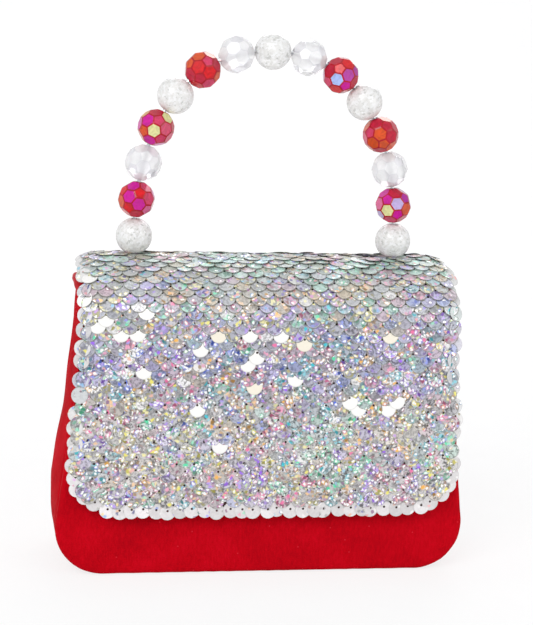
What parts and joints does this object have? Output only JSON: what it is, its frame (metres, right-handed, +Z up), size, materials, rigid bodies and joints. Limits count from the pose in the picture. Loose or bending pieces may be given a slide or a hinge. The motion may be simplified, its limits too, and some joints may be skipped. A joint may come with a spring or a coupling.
{
  "type": "sequin handbag",
  "caption": "Small structured evening handbag with a sequinned flap that folds over the front and a bead carrying handle on top.",
  "frame": {"origin": "on the ground, at the middle of the flat foot of the bag", "axes": "+Z up, -Y towards the front that the flap covers, +X to the right as the front is seen"},
  "size_m": [0.142, 0.049, 0.1805],
  "materials": {
    "red_cloth": "matt mottled cloth",
    "satin_lining": "smooth lining cloth",
    "stiffening_board": "plain board",
    "sequins": "overlapping hologram sequins on cloth",
    "magnet_steel": "plated",
    "crackle_bead": "clear round bead with cracks inside",
    "red_bead": "clear red, football facets, iridescent coat",
    "clear_bead": "clear, football facets",
    "steel_wire": "drawn wire"
  },
  "bodies": {
    "body": {"front_panel": "red_cloth", "back_panel": "red_cloth", "gusset": "red_cloth", "left_gusset_edging": "red_cloth", "right_gusset_edging": "red_cloth", "front_stiffener": "stiffening_board", "back_stiffener": "stiffening_board", "base_board": "stiffening_board", "front_lining": "satin_lining", "back_lining": "satin_lining", "gusset_lining": "satin_lining", "panel_magnet": "magnet_steel", "tail_sequins": "sequins", "tail_lining": "red_cloth"},
    "flap_crown": {"crown_sequins": "sequins", "crown_board": "stiffening_board", "crown_lining": "red_cloth", "left_washer": "steel_wire", "right_washer": "steel_wire", "left_crimp": "steel_wire", "right_crimp": "steel_wire", "left_wire_end": "steel_wire", "right_wire_end": "steel_wire", "back_fold_sequins": "sequins", "back_fold_lining": "red_cloth"},
    "flap_front": {"front_sequins": "sequins", "front_flap_board": "stiffening_board", "front_flap_lining": "red_cloth", "flap_magnet": "magnet_steel", "front_fold_sequins": "sequins", "front_fold_lining": "red_cloth"},
    "handle": {"bead_01_crackle": "crackle_bead", "bead_02_red": "red_bead", "bead_03_clear": "clear_bead", "bead_04_red": "red_bead", "bead_05_crackle": "crackle_bead", "bead_06_red": "red_bead", "bead_07_clear": "clear_bead", "bead_08_crackle": "crackle_bead", "bead_09_clear": "clear_bead", "bead_10_red": "red_bead", "bead_11_crackle": "crackle_bead", "bead_12_red": "red_bead", "bead_13_clear": "clear_bead", "bead_14_red": "red_bead", "bead_15_crackle": "crackle_bead", "handle_wire": "steel_wire"}
  },
  "joints": [
    {"name": "flap_opens", "type": "hinge", "parent": "body", "child": "flap_crown", "pos_m": [0, 0.01914, 0.0984], "axis": [-1, 0, 0], "range_deg": [0, 90], "deforming": ["back_fold_sequins", "back_fold_lining"]},
    {"name": "flap_front_lifts", "type": "hinge", "parent": "flap_crown", "child": "flap_front", "pos_m": [0, -0.02088, 0.09796], "axis": [-1, 0, 0], "range_deg": [0, 80], "deforming": ["front_fold_sequins", "front_fold_lining"]},
    {"name": "handle_swings", "type": "hinge", "parent": "flap_crown", "child": "handle", "pos_m": [0, 0, 0.1118], "axis": [-1, 0, 0], "range_deg": [-90, 90]}
  ]
}
